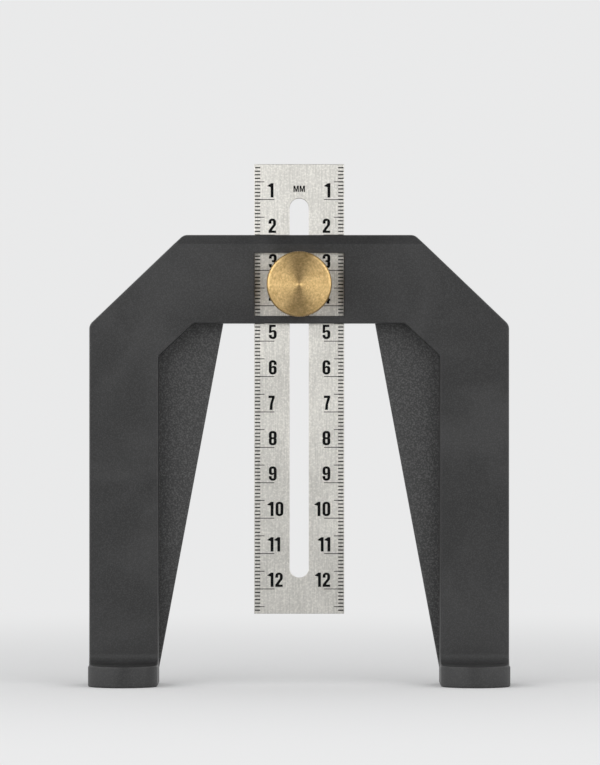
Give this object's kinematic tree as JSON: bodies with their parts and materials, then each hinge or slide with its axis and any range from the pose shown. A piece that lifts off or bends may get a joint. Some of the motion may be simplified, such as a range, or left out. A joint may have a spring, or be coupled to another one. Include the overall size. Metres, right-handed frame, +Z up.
{
  "type": "depth gauge",
  "caption": "Self-standing depth gauge: a moulded arch on half-round feet carries a slotted steel rule that slides upright and is clamped by a knurled brass knob.",
  "frame": {"origin": "on the surface that the feet stand on, midway across the arch and midway between the toes of the feet and the back of the arch", "axes": "+Z up along the rule's slide, -Y to the front, where the knob and the feet point, +X to the right seen from the front"},
  "size_m": [0.1184, 0.026, 0.147],
  "materials": {
    "moulding": "black ABS, satin front, finely grained wings",
    "rule_steel": "satin steel with black graduations",
    "knob_brass": "turned face, diamond-knurled rim",
    "bolt_steel": "zinc plated",
    "washer_steel": "zinc plated",
    "magnet_plating": "nickel plated"
  },
  "bodies": {
    "frame": {"frame_body": "moulding", "clamp_bolt": "bolt_steel", "foot_magnet_left": "magnet_plating", "foot_magnet_right": "magnet_plating"},
    "rule": {"ruler": "rule_steel"},
    "washer": {"clamp_washer": "washer_steel"},
    "knob": {"clamp_knob": "knob_brass"}
  },
  "joints": [
    {"name": "rule_slide", "type": "slide", "parent": "frame", "child": "rule", "axis": [0, 0, 1], "range_m": [-0.02, 0.08]},
    {"name": "clamp_release", "type": "slide", "parent": "frame", "child": "washer", "axis": [0, -1, 0], "range_m": [0, 0.0016]},
    {"name": "knob_turn", "type": "hinge", "parent": "washer", "child": "knob", "pos_m": [0, 0, 0.113], "axis": [0, -1, 0], "range_deg": [0, 720]}
  ],
  "couplings": [
    {"joint": "knob_turn", "follows": "clamp_release", "rad_per_m": 7854}
  ]
}
